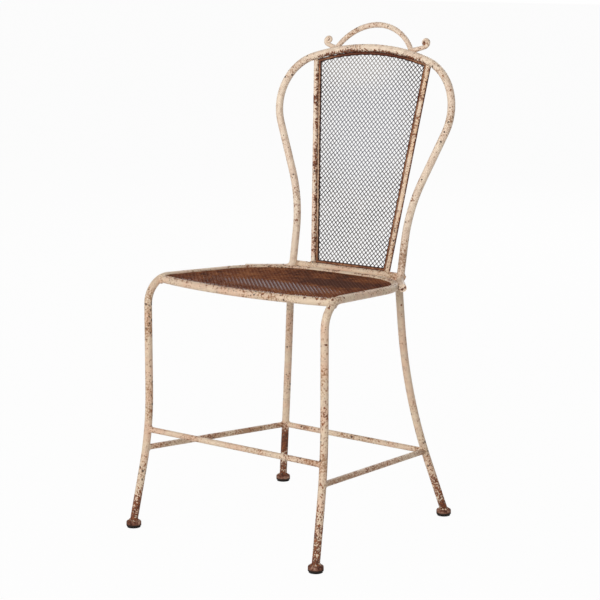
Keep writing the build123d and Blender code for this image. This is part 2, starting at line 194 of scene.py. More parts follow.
    # Bare places are duller than paint and lie a little deeper
    gone = add(tree, "Math", {0: bare, 1: pinned}, operation="MAXIMUM").outputs[0]
    dull = add(tree, "MapRange", {"Value": gone, "To Min": 0.45, "To Max": 0.85}).outputs[0]
    relief = add(tree, "Math", {0: gone, 1: -0.7, 2: blotch}, operation="MULTIPLY_ADD").outputs[0]
    skin = add(tree, "Bump", {"Strength": 0.6, "Distance": 0.7 * MM, "Height": relief}).outputs[0]
    tree.links.new(colour, shader.inputs["Base Color"])
    tree.links.new(dull, shader.inputs["Roughness"])
    tree.links.new(skin, shader.inputs["Normal"])
    shader.inputs["IOR"].default_value = 1.5
    return material


# %% [markdown]
# Now every bar gets its own wear. A spot is a place on the bar and a reach, in millimetres, and how far the
# rust has got there. The small round pits have rusted right through the paint, so they share one strength.
# Heights of rust are millimetres above the floor: none at rust_top, and all of it at rust_full.

# %% Painted finishes
THROUGH = 0.36
fresh, worn = (CREAM, PALE), (linear("#E0C9AE"), linear("#DCB99E"))
stained = (linear("#EBD2B8"), linear("#E0BC98"))
hoop_chips = [((136, 158, 590), 14, 0.2), ((-125.5, 148, 527), 12, 0.16), ((-126, 150, 545), 55, 0.085)]
hoop_pits = [((180.7, 60.9, 441.0), 4.2, THROUGH), ((184.1, 63.8, 444.0), 3.6, THROUGH)]
scroll_eyes = [((-106.5, 222.0, 865.0), 5.5, 0.3), ((110.8, 222.0, 866.5), 5.5, 0.3)]
corner_pits = [((200.5, -179.2, 445.6), 4.4, THROUGH), ((197.2, -164.1, 455.8), 4.0, THROUGH)]
leg_pits = [((200.4, -136.8, 456.5), 3.2, THROUGH), ((189.6, -66.2, 456.1), 3.4, THROUGH),
            ((205.3, -193.5, 384.7), 3.0, THROUGH)]
leg_chips = [((200, -190, 265), 75, 0.075)]
rail_pits = [((168.8, -170.9, 454.7), 3.2, THROUGH), ((145.7, -176.1, 455.8), 3.4, THROUGH),
             ((66.2, -191.5, 454.4), 3.0, THROUGH)]
rear_pits = [((132.9, 125.9, 397.8), 3.2, THROUGH)]
far_rust = [((-171, 166, 85), 62, 0.32)]
stile_chips = [((-106, 178, 632), 12, 0.2), ((-120, 198, 756), 14, 0.2)]
stretcher_chips = [((130, -193, 180), 45, 0.07)]

hoop_paint = enamel("oil enamel on the hoop", 0.05, -0.07, spots=hoop_chips + hoop_pits, under=0.165,
                    tints=fresh)
crest_paint = enamel("oil enamel on the crest", 0.06, spots=scroll_eyes, tints=fresh)
rail_paint = enamel("oil enamel on the seat ring", 0.075, spots=rail_pits, top=0.07, tints=worn)
# Where inner is set, faces to the chair's middle darken: partly dirt, partly painted shade
near_paint = enamel("oil enamel on the near front leg", 0.06, 0.05, rust_top=180, rust_full=5,
                    spots=corner_pits + leg_pits + leg_chips, top=0.05, inner=0.04, tints=worn)
left_paint = enamel("oil enamel on the left front leg", 0.035, -0.01, rust_top=150, rust_full=20,
                    inner=0.025, tints=worn)
rear_paint = enamel("oil enamel on the right rear leg", 0.06, -0.02, rust_top=120, rust_full=20,
                    spots=rear_pits, tints=worn)
far_paint = enamel("oil enamel gone on the far leg", 0.03, -0.08, rust_top=140, rust_full=20,
                   spots=far_rust, inner=0.02, tints=worn)
stile_paint = enamel("oil enamel flaking on the left stile", 0.095, -0.08, spots=stile_chips, inner=0.085)
# The right stile's faces turned away from the front darken: partly rust, partly painted shade
right_paint = enamel("oil enamel stained on the right stile", 0.10, -0.04, inner=0.06, behind=0.17,
                     tints=stained)
stretcher_paint = enamel("oil enamel on the stretchers", 0.075, 0.01, spots=stretcher_chips, tints=worn)
side_paint = enamel("oil enamel on the side stretchers", 0.105, 0.14, tints=worn)
weld_paint = enamel("oil enamel on the welds", 0.08, 0.02, rust_top=50, spots=corner_pits, tints=worn)
painted = [made.name for made in bpy.data.materials if made.name.startswith("oil enamel")]
print("painted finishes", len(painted))

# %% [markdown]
# The strip round the back's mesh, the disc feet and the wires have lost nearly all their paint. Rusted mild
# steel is not shiny: a mottled brown skin of fine grains. The wires are greyed at the front of the seat,
# where sitters have rubbed them, and one family is lighter there as painted highlight on the wires that face
# the light, so their colour is mixed by the distance from a patch's middle.

# %% Material: rusted steel
FOOT_BLACK = "#14110F"
CLOUDS_PER_GRAIN = 6


def rusted(name, dark, mid, light, grain_mm, patches=(), edge=None, black_up_to=None):
    """Rust mottled by noise of a given grain and of clouds six times as wide. A patch is an ellipsoid with a
    ragged rim, given as a centre and half sizes in millimetres and a colour; an edge colour lies at the rims
    of a strip, by its own attribute, and black up to a height, so that the piece is darker towards the
    bottom."""
    material = bpy.data.materials.new(name)
    material.use_nodes = True
    tree = material.node_tree
    shader = tree.nodes["Principled BSDF"]
    place = add(tree, "TexCoord").outputs["Object"]
    wide_mm = CLOUDS_PER_GRAIN * grain_mm
    grain = add(tree, "TexNoise", {"Vector": place, "Scale": 1 / (grain_mm * MM), "Detail": 4.0}).outputs[0]
    cloud = add(tree, "TexNoise", {"Vector": place, "Scale": 1 / (wide_mm * MM), "Detail": 2.0}).outputs[0]
    mottle = add(tree, "MixRGB", {"Fac": 0.45, "Color1": grain, "Color2": cloud}).outputs[0]
    colour = add(tree, "ValToRGB", {"Fac": mottle},
                 [(0.38, linear(dark)), (0.50, linear(mid)), (0.62, linear(light))]).outputs[0]
    for centre, half, kept in patches:
        local = add(tree, "Mapping", {"Vector": place, "Location": Vector(centre) * MM,
                                      "Scale": Vector(half) * MM}, vector_type="TEXTURE").outputs[0]
        gap = add(tree, "VectorMath", {0: local}, operation="LENGTH").outputs["Value"]
        ragged = add(tree, "Math", {0: grain, 1: 0.9, 2: gap}, operation="MULTIPLY_ADD").outputs[0]
        share = add(tree, "MapRange", {"Value": ragged, "From Min": 1.05, "From Max": 1.6,
                                       "To Min": 0.9, "To Max": 0.0}).outputs[0]
        colour = add(tree, "MixRGB", {"Fac": share, "Color1": colour, "Color2": linear(kept)}).outputs[0]
    # Dark rims on the strip: partly rust, partly painted shade in the gaps beside the stile and the mesh
    if edge:
        across = add(tree, "Attribute", attribute_name="across").outputs["Fac"]
        torn = add(tree, "Math", {0: grain, 1: 1.6, 2: across}, operation="MULTIPLY_ADD").outputs[0]
        rim = add(tree, "MapRange", {"Value": torn, "From Min": 1.08, "From Max": 1.40}).outputs[0]
        colour = add(tree, "MixRGB", {"Fac": rim, "Color1": colour, "Color2": linear(edge)}).outputs[0]
    # The foot is painted black up to this height, darker towards the bottom
    if black_up_to:
        height = add(tree, "SeparateXYZ", {"Vector": place}).outputs["Z"]
        low = add(tree, "Math", {0: grain, 1: -4 * MM, 2: height}, operation="MULTIPLY_ADD").outputs[0]
        share = add(tree, "MapRange", {"Value": low, "From Min": (black_up_to - 3) * MM,
                                       "From Max": (black_up_to - 1.5) * MM,
                                       "To Min": 0.95, "To Max": 0.0}).outputs[0]
        colour = add(tree, "MixRGB", {"Fac": share, "Color1": colour, "Color2": linear(FOOT_BLACK)}).outputs[0]
    skin = add(tree, "Bump", {"Strength": 0.5, "Distance": 0.5 * MM, "Height": grain}).outputs[0]
    tree.links.new(colour, shader.inputs["Base Color"])
    tree.links.new(skin, shader.inputs["Normal"])
    shader.inputs["Roughness"].default_value = 0.8
    shader.inputs["Specular IOR Level"].default_value = 0.25
    return material


# %% [markdown]
# The seat has two patches, each a centre and half sizes: the band that sitters rubbed, and a dark one behind
# it,
# which is painted shade. Both families of wires share them, but one is light grey there and the other stays
# brown:
# that grey is partly rubbed paint and partly painted highlight on the family that faces the light, and the
# same family is painted lighter everywhere. The strip is paler along its left side, and dark under the crown,
# which is painted shade under the hoop. The pads' rubber is dull and even, so the same recipe serves it with
# three near blacks.

# %% Rusted and rubber finishes
RUBBED_AND_LIT, SHADED = ((28, -97, 452), (122, 44, 60)), ((85, 0, 450), (95, 52, 60))
# Under the crown the strip is dark as painted shade under the hoop; its dark rims are partly rust, partly
# painted shade
strip_rust_and_shade = rusted("folded steel strip, rusted", "#5A2E1C", "#925F41", "#BE8F6C", 4.0,
                    [((-100, 175, 630), (34, 90, 190), "#C8A88C"),
                     ((0, 213, 845), (150, 30, 16), "#5C2D1C")], "#35190F")
foot_rust = rusted("turned iron foot, rusted", "#341A10", "#704534", "#AE8A76", 4.5, black_up_to=6.0)
back_wire = rusted("crimped steel wire of the back", "#241E1B", "#4A413D", "#726A66", 9.0,
                   [((0, 190, 730), (105, 60, 150), "#7B7B83"), ((-30, 210, 830), (100, 60, 52), "#A09A95")])
seat_wire = rusted("crimped steel wire of the seat", "#442314", "#6C3B23", "#8A5532", 12.0,
                   [(*RUBBED_AND_LIT, "#6E4C42"), (*SHADED, "#46271D")])
# This family is painted lighter than the other as painted highlight; its grey band is partly rubbed paint,
# partly painted highlight
rubbed_and_lit_wire = rusted("crimped steel wire rubbed grey", "#532E1B", "#875130", "#A87045", 12.0,
                     [(*RUBBED_AND_LIT, "#D0CBD0"), (*SHADED, "#5E3826")])
edge_rust = rusted("wire ends rusted to the ring", "#3E2014", "#6E3E25", "#B58A62", 5.0)
pad_rubber = rusted("moulded black rubber pad", "#0E0D0D", "#171615", "#252321", 4.0)
print("materials so far", len(bpy.data.materials))

# %% [markdown]
# Each solid from CAD keeps its shape and gets its finish in its first material slot. The meshes, the strip
# and the crest are dressed too, although finer pieces take their places further on.

# %% Dress the solids
finish_of = {
    "back_hoop": hoop_paint, "crest": crest_paint, "seat_front_rail": rail_paint, "seat_rear_bar": rail_paint,
    "back_bottom_rail": rail_paint, "left_stile": stile_paint, "right_stile": right_paint,
    "front_left_leg": left_paint, "front_right_leg": near_paint, "rear_right_leg": rear_paint,
    "rear_left_leg": far_paint, "front_stretcher": stretcher_paint, "rear_stretcher": stretcher_paint,
    "left_stretcher": side_paint, "right_stretcher": side_paint, "back_mesh_edging": strip_rust_and_shade,
    "back_mesh": back_wire, "seat_mesh": seat_wire,
}
for name, solid in nodes.items():
    finish = finish_of.get(name) or (foot_rust if name.endswith("foot") else pad_rubber)
    solid.data.materials.clear()
    solid.data.materials.append(finish)
print("dressed", len(nodes))

# %% [markdown]
# The mesh is crimped wire, woven corner-wise, so that its gaps stand as diamonds. A wire could be a curve
# with a bevel, but several hundred of them are simpler as one array: every wire is a row of rings on a grid
# turned by 45 degrees, it rises and falls as a cosine from crossing to crossing, and the other family runs
# the opposite way. Rings outside the frame are masked away, and the last ones are closed by caps. A panel is
# worked out flat, and one more helper then sets its points into the chair.

# %% Woven wire: one family of parallel wires in a plane
PITCH, WIRE, CRIMP = 6.35, 1.65, 0.45
SIDES = 6


def on_plane(origin, run_way, x, y, z):
    """Points of the frame from a panel's own x, y and height: origin + x * over + y * run + z * normal."""
    over, run = np.array((1.0, 0.0, 0.0)), np.array(run_way)
    normal = np.cross(over, run)
    points = np.array(origin) + x[..., None] * over + y[..., None] * run + z[..., None] * normal
    return points.reshape(-1, 3)


def woven(name, origin, run_way, inside, hand, reach, material, lift=0.0, stretch=1.0):
    """Rings at position = along * d + across * n, with d = (hand, 1) / sqrt 2 and n = (1, -hand) / sqrt 2.
    Height is lift + hand * crimp * wire * cos(pi * (along + across) / pitch), so the families pass over and
    under. A stretch makes the diamonds longer along the panel."""
    lines = np.arange(-int(reach / PITCH), int(reach / PITCH) + 1)
    steps = np.arange(2 * lines[0], 2 * lines[-1] + 1) * PITCH / 2
    along, line = np.meshgrid(steps, lines)
    x = (hand * along + line * PITCH) / np.sqrt(2)
    y = (along - hand * line * PITCH) / np.sqrt(2) * stretch
    height = hand * CRIMP * WIRE * np.cos(np.pi * (along / PITCH + line))
    height = height + (lift(x, y) if callable(lift) else lift)
    keep = inside(x, y)
    pair = keep[:, :-1] & keep[:, 1:]
    goes_on = np.pad(pair, ((0, 0), (0, 1)))
    came_from = np.pad(pair, ((0, 0), (1, 0)))
    keep = goes_on | came_from
    turn = np.arange(SIDES) * 2 * np.pi / SIDES
    side = np.cos(turn) * WIRE / 2
    local_x = x[keep][:, None] + side / np.sqrt(2)
    local_y = y[keep][:, None] - hand * side / np.sqrt(2)
    local_z = height[keep][:, None] + np.sin(turn) * WIRE / 2
    number = np.cumsum(keep).reshape(keep.shape) - 1
    first = number[:, :-1][pair][:, None] * SIDES
    second = number[:, 1:][pair][:, None] * SIDES
    now, after = np.arange(SIDES), (np.arange(SIDES) + 1) % SIDES
    walls = np.stack([first + now, second + now, second + after, first + after], -1).reshape(-1, 4)
    halves = np.array([[0, 1, 2, 3], [0, 3, 4, 5]])
    head = number[goes_on & ~came_from][:, None, None] * SIDES + halves
    tail = number[came_from & ~goes_on][:, None, None] * SIDES + halves[:, ::-1]
    quads = np.concatenate([walls, head.reshape(-1, 4), tail.reshape(-1, 4)])
    return piece(name, on_plane(origin, run_way, local_x, local_y, local_z), quads, material)


# %% [markdown]
# The back's mesh fills the strip frame between the stiles. Its wires end inside the strip, as in the real
# frame, where the strip is folded over them. The outline is the strip's middle line: two stiles that spread
# upwards, a straight foot, and the crown's arc, which leans out of the panel's plane and so looks flatter.

# %% Back mesh
PANEL_ORIGIN, PANEL_RUN, PANEL_REACH = (0.0, 149.084, 449.651), (0.0, 0.166023, 0.986123), 420
PANEL_FOOT, PANEL_CROWN, CROWN_RADIUS, CROWN_LEAN = 0.6, 403.548, 418.423, 0.9742
FOOT_HALF, STILE_SPREAD, STILE_RUN = 81.45, 43.8, 390.73
STRIP_WIDTH, STRIP_THICK = 7.0, 4.0
STRIP_HALF = STRIP_WIDTH / 2


def crown_line(x):
    """Height of the panel's top at a distance from the middle: crown - lean * (r - sqrt(r^2 - x^2))."""
    return PANEL_CROWN - CROWN_LEAN * (CROWN_RADIUS - np.sqrt(np.maximum(CROWN_RADIUS**2 - x**2, 0)))


def stile_line(y):
    """Half the panel's width at a height, between the stiles that spread upwards."""
    return FOOT_HALF + STILE_SPREAD * y / STILE_RUN


def in_panel(x, y):
    """Between the stiles, above the bottom rail and below the crown, in by half of the strip."""
    between = np.abs(x) < stile_line(y) - STRIP_HALF
    return between & (y > PANEL_FOOT + STRIP_HALF) & (y < crown_line(x) - STRIP_HALF)


back_warp = woven("back_wires_rising", PANEL_ORIGIN, PANEL_RUN, in_panel, 1, PANEL_REACH, back_wire)
woven("back_wires_falling", PANEL_ORIGIN, PANEL_RUN, in_panel, -1, PANEL_REACH, back_wire)
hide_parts("back_mesh")

# %% [markdown]
# The strip is a narrow band of sheet steel, folded over the wire ends and hammered down. Its section is a
# rounded oblong, and it runs round the panel in one loop with mitred corners. Sweeping the section along
# the outline as arrays keeps the mitre exact. Two more helpers list the faces of such a tube, closed or open.

# %% Tubes: a section swept along a line
def swept_loop(outline, side, rise):
    """Points outline + miter * side + normal * rise, with miter = (n1 + n2) / (1 + n1.n2) at each corner."""
    step = np.roll(outline, -1, 0) - outline
    step /= np.linalg.norm(step, axis=1, keepdims=True)
    left = np.stack([-step[:, 1], step[:, 0]], -1)
    before = np.roll(left, 1, 0)
    miter = (left + before) / (1 + np.sum(left * before, 1, keepdims=True))
    flat = outline[:, None] + miter[:, None] * side[None, :, None]
    return np.concatenate([flat, np.broadcast_to(rise[None, :, None], flat.shape[:2] + (1,))], -1)


def loop_quads(loops, sides):
    """Faces of a closed tube whose rings follow each other: round the ring first, then along the loop."""
    ring, spot = np.meshgrid(np.arange(loops), np.arange(sides), indexing="ij")
    after, beside = (ring + 1) % loops, (spot + 1) % sides
    corners = [ring * sides + spot, ring * sides + beside, after * sides + beside, after * sides + spot]
    return np.stack(corners, -1).reshape(-1, 4)


def open_quads(rings, sides):
    """Faces of a tube with two ends, each closed by a ladder of faces across the ring."""
    step = np.arange(sides // 2 - 1)
    cap = np.stack([step, step + 1, sides - 2 - step, sides - 1 - step], -1)
    return np.concatenate([loop_quads(rings, sides)[:-sides], cap[:, ::-1], cap + (rings - 1) * sides])


# %% [markdown]
# The strip's outline goes down the left stile, along the foot, up the right stile and back along the crown.
# The hammer's dents are a swelling and thinning from ring to ring. Each point also stores how far it lies
# from the strip's middle, as a share of half the width, so that its finish can darken the rims.

# %% Folded strip round the back mesh
TOP_CORNER = 385.1
CORNER_ROUND = 0.6
turns = np.linspace(0, 2 * np.pi, 16, endpoint=False)
section_side = np.sign(np.cos(turns)) * np.abs(np.cos(turns)) ** CORNER_ROUND * STRIP_WIDTH / 2
section_rise = np.sign(np.sin(turns)) * np.abs(np.sin(turns)) ** CORNER_ROUND * STRIP_THICK / 2
foot_y = PANEL_FOOT + STRIP_HALF
foot_x = stile_line(foot_y) - STRIP_HALF
top_x = np.linspace(1, -1, 41) * (stile_line(TOP_CORNER) - STRIP_HALF)
top_y = crown_line(top_x) - STRIP_HALF
corners = np.array([(top_x[-1], top_y[-1]), (-foot_x, foot_y), (foot_x, foot_y), (top_x[0], top_y[0])])
sides = [a + np.linspace(0, 1, count, endpoint=False)[:, None] * (b - a)
         for a, b, count in zip(corners[:-1], corners[1:], (70, 30, 70))]
outline = np.concatenate([*sides, np.stack([top_x, top_y], -1)[:-1]])
local = swept_loop(outline, section_side, section_rise)
beat = np.arange(len(outline))[:, None, None]
dents = 1 + 0.10 * np.sin(1.9 * beat) + 0.08 * np.sin(4.3 * beat + 1)
axis = np.pad(outline, ((0, 0), (0, 1)))[:, None]
local = axis + (local - axis) * dents
strip_points = on_plane(PANEL_ORIGIN, PANEL_RUN, *np.moveaxis(local, -1, 0))
strip_quads = loop_quads(len(outline), len(turns))
strip = piece("back_edging_strip", strip_points, strip_quads, strip_rust_and_shade)
rim_share = np.tile(np.abs(section_side) / STRIP_HALF, len(outline)).astype(np.float32)
strip.data.attributes.new("across", "FLOAT", "POINT").data.foreach_set("value", rim_share)
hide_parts("back_mesh_edging")

# %% [markdown]
# The seat's mesh is welded to the ring of bars a little above their middles, and dips at the front rail,
# which sits lower. The outline follows the ring: straight sides that come in towards the back, two round rear
# corners, a gently bowed back and a front that bows out to the knees. Its diamonds are a little longer from
# front to back than across.

# %% Seat mesh
SEAT_ORIGIN, SEAT_RUN, SEAT_REACH = (0.0, -189.631, 455.2), (0.0, 0.998857, -0.047804), 460
FRONT_CENTRE, FRONT_RADIUS = 619.8, 618.9
SIDE_FRONT, SIDE_SHIFT, SIDE_RUN = 199.5, 28.5, 305.5
CORNER_X, CORNER_Y, CORNER_RADIUS = 56.51, 186.98, 125.0
BACK_MIDDLE, BACK_BOW = 313.96, 1803.0
TUCK, LIFT, DIP, DIP_REACH, STRETCH = 3.5, 2.0, 2.0, 8.0, 1.06


def front_line(x):
    """The front rail's centre line, an arc through the seat's front: centre - sqrt(r^2 - x^2)."""
    return FRONT_CENTRE - np.sqrt(np.maximum(FRONT_RADIUS**2 - x**2, 0))


def side_line(y):
    """Half the seat's width at a depth, on the side rails' centre lines."""
    return SIDE_FRONT - SIDE_SHIFT * y / SIDE_RUN


def back_line(x):
    """Depth of the rear bar's middle stretch, a shallow parabola: middle - x^2 / bow."""
    return BACK_MIDDLE - x**2 / BACK_BOW


def in_seat(x, y):
    """Inside the ring's centre lines, less a tuck that leaves the wire ends inside the bars."""
    x = np.abs(x)
    ahead = (y < CORNER_Y) & (x < side_line(y) - TUCK)
    between = (x < CORNER_X) & (y < back_line(x) - TUCK)
    corner = (y >= CORNER_Y) & (np.hypot(x - CORNER_X, y - CORNER_Y) < CORNER_RADIUS - TUCK)
    return (ahead | between | corner) & (y > front_line(x) + TUCK)


def seat_lift(x, y):
    """Height over the ring's middle: lift - dip * exp(-(d / reach)^2), d being the way to the front rail."""
    return LIFT - DIP * np.exp(-((y - front_line(x)) / DIP_REACH) ** 2)


seat_warp = woven("seat_wires_rising", SEAT_ORIGIN, SEAT_RUN, in_seat, 1, SEAT_REACH, seat_wire,
                  seat_lift, STRETCH)
woven("seat_wires_falling", SEAT_ORIGIN, SEAT_RUN, in_seat, -1, SEAT_REACH, rubbed_and_lit_wire, seat_lift, STRETCH)
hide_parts("seat_mesh")

# %% [markdown]
# The wire ends of the seat are welded to the ring all round, and that seam has rusted to one ragged dark
# line. It is a thin closed loop just inside the ring: front arc, side, rear corner and back of one half as
# one row of points, and then the same row mirrored. Two sines make it ragged.

# %% Rusted seam round the seat mesh
SEAM_INSET, SEAM_RADIUS, SEAM_SIDES = 6.6, 1.2, 8
FRONT_END, SIDE_START, SIDE_END, ARC_START, ARC_END, BACK_END = 190, 42, 194, 6, 88, 56


def arc(centre, radius, start, end, count):
    """Points on a circle between two angles in degrees, counted from the x axis."""
    angle = np.radians(np.linspace(start, end, count))
    return np.array(centre) + radius * np.stack([np.cos(angle), np.sin(angle)], -1)


front_x = np.linspace(0, FRONT_END, 40)
side_y = np.linspace(SIDE_START, SIDE_END, 20)
back_x = np.linspace(BACK_END, 0, 12)[:-1]
half_loop = np.concatenate([
    np.stack([front_x, front_line(front_x) + SEAM_INSET], -1),
    np.stack([side_line(side_y) - SEAM_INSET, side_y], -1),
    arc((CORNER_X, CORNER_Y), CORNER_RADIUS - SEAM_INSET, ARC_START, ARC_END, 24),
    np.stack([back_x, back_line(back_x) - SEAM_INSET], -1)])
seam_line = np.concatenate([half_loop, (half_loop * (-1, 1))[::-1][:-1]])
beat = np.arange(len(seam_line))
ripple = 1 + 0.25 * np.sin(beat * 2.1) + 0.2 * np.sin(beat * 5.3)
seam_turns = np.linspace(0, 2 * np.pi, SEAM_SIDES, endpoint=False)
swept = swept_loop(seam_line, SEAM_RADIUS * np.cos(seam_turns), SEAM_RADIUS * np.sin(seam_turns))
flat = seam_line[:, None] + (swept[..., :2] - seam_line[:, None]) * ripple[:, None, None]
seam_x, seam_y = flat[..., 0], flat[..., 1]
seam_points = on_plane(SEAT_ORIGIN, SEAT_RUN, seam_x, seam_y, swept[..., 2] + seat_lift(seam_x, seam_y))
piece("seat_mesh_seam", seam_points, loop_quads(len(seam_line), SEAM_SIDES), edge_rust)

# %% [markdown]
# The crest is one bar, drawn thinner towards its ends on the anvil and rolled up there into two small
# scrolls. Its middle line is easy to write as a smith bends it: so much turn for so much length. Adding up
# the turns gives the heading, and adding up the steps along the heading gives the line. The smith did not get
# both arms equally long, so each half is bent for itself.

# %% Crest with drawn and rolled ends
CREST_ORIGIN, CREST_RUN, CREST_SIDES = (0.0, 217.436, 852.295), (0.0, 0.342, 0.940), 16
CREST_RISE, BOW, TOE, ROLL, EYE = 46.44, 100.5, 8.0, 8.6, 1.6
BOW_TURN, TOE_TURN, ROLL_TURN = np.radians(55.11), np.radians(72.11), np.radians(470.0)
LEFT_ARM, RIGHT_ARM = 18.0, 23.0
DRAWN_RADII = (5.25, 5.0, 4.7, 3.8, 3.6, 2.5, 1.5)


def crest_half(arm):
    """Rows of x, y, heading and radius from the top of the bow to the eye of the scroll. The bend per length
    is -1 / bow, then 1 / toe, nought on the arm, and 1 / (roll shrinking to eye) in the scroll."""
    roll_length = ROLL_TURN * (ROLL + EYE) / 2
    marks = np.cumsum([BOW * BOW_TURN, TOE * TOE_TURN, arm, roll_length])
    fine = np.linspace(0, marks[-1], 4000)
    rolled = np.clip((fine - marks[2]) / roll_length, 0, 1)
    bend = np.select([fine < marks[0], fine < marks[1], fine < marks[2]], [-1 / BOW, 1 / TOE, 0.0],
                     1 / (ROLL + (EYE - ROLL) * rolled))
    step = np.diff(fine, prepend=0.0)
    heading = np.cumsum(bend * step)
    drawn = [0, marks[0] * 0.6, marks[1], marks[2], marks[2] + 14, marks[3] - 1, marks[3]]
    radius = np.interp(fine, drawn, DRAWN_RADII)
    x, y = np.cumsum(np.cos(heading) * step), CREST_RISE + np.cumsum(np.sin(heading) * step)
    stops = np.concatenate([[0], marks])
    spread = [np.linspace(a, b, count, endpoint=False)
              for a, b, count in zip(stops[:-1], stops[1:], (30, 12, 10, 64))]
    chosen = np.searchsorted(fine, np.append(np.concatenate(spread), fine[-1]))
    return np.stack([x, y, heading, radius], -1)[chosen]


left_half = (crest_half(LEFT_ARM) * (-1, 1, -1, 1))[::-1]
crest_line = np.concatenate([left_half, crest_half(RIGHT_ARM)[1:]])
around = np.linspace(0, 2 * np.pi, CREST_SIDES, endpoint=False)
line_x, line_y, heading, radius = np.moveaxis(crest_line[:, None], -1, 0)
crest_x = line_x - np.sin(heading) * radius * np.cos(around)
crest_y = line_y + np.cos(heading) * radius * np.cos(around)
crest_points = on_plane(CREST_ORIGIN, CREST_RUN, crest_x, crest_y, radius * np.sin(around))
crest_quads = open_quads(len(crest_line), CREST_SIDES)
crest = piece("crest_scrolls", crest_points, crest_quads, crest_paint)
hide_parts("crest")

# %% [markdown]
# Where one bar meets another, a weld bead runs round the joint. On paper it is the curve where two cylinders
# cross. For a branch bar, a point on its surface slides along the branch until it is one main radius away
# from the main bar's axis: a quadratic for the slide, solved for a whole ring of points at once. A lumpy
# tube follows that curve, half sunk in both bars, as a hand-laid bead is.

# %% Curves and tubes for weld beads
AROUND, BEAD_SIDES = 48, 8
round_way = np.linspace(0, 2 * np.pi, AROUND, endpoint=False)
spin = np.linspace(0, 2 * np.pi, BEAD_SIDES, endpoint=False)


def unit(way):
    """Directions of length one, along the last axis."""
    way = np.asarray(way, float)
    return way / np.linalg.norm(way, axis=-1, keepdims=True)


def ring(centre, first, second):
    """An ellipse: centre + first * cos t + second * sin t."""
    across, along = np.cos(round_way)[:, None], np.sin(round_way)[:, None]
    return centre + across * np.array(first) + along * np.array(second)


def seam(branch, way, radius, main, main_way, main_radius):
    """Curve where a branch bar's skin meets a main bar's: |flat(rel + way * s)| = main radius, flat being
    the part across the main bar's axis."""
    way, main_way = unit(way), unit(main_way)
    first = unit(np.cross(main_way, way))
    skin = ring(np.array(branch), radius * first, radius * np.cross(way, first))
    rel = skin - main
    flat = rel - np.outer(rel @ main_way, main_way)
    flat_way = way - main_way * (way @ main_way)
    a, b = flat_way @ flat_way, 2 * flat @ flat_way
    c = np.sum(flat**2, 1) - main_radius**2
    slide = (-b + np.sqrt(np.maximum(b**2 - 4 * a * c, 0))) / (2 * a)
    return skin + slide[:, None] * way


def beads(name, curves, girths, material):
    """Lumpy closed tubes along the curves (j, n, 3), with girth g * (1 + 0.22 sin 7t + 0.15 sin 11t)."""
    curves = np.array(curves)
    way = unit(np.roll(curves, -1, 1) - np.roll(curves, 1, 1))
    out = curves - curves.mean(1, keepdims=True)
    out = unit(out - np.sum(out * way, 2, keepdims=True) * way)
    up = np.cross(way, out)
    shift = np.arange(len(curves))[:, None] * 1.7
    lumps = 1 + 0.22 * np.sin(7 * round_way + shift) + 0.15 * np.sin(11 * round_way - shift)
    girth = (np.array(girths)[:, None] * lumps)[..., None, None]
    turned = np.cos(spin)[:, None] * out[:, :, None] + np.sin(spin)[:, None] * up[:, :, None]
    points = curves[:, :, None] + girth * turned
    starts = np.arange(len(curves))[:, None, None] * AROUND * BEAD_SIDES
    quads = loop_quads(AROUND, BEAD_SIDES) + starts
    return piece(name, points.reshape(-1, 3), quads.reshape(-1, 4), material)


# %% [markdown]
# The chair's joints are the same on both sides, so one loop over left and right lists them all. Each is given
# by a point on each bar's middle line and by the directions of both bars there. The stretchers meet the legs,
# the stiles meet the back's rail and the crown, the front rail meets the leg's bend, and the rear leg meets
# the hoop's foot. A plain ring closes the rail's end and the leg on its disc foot.

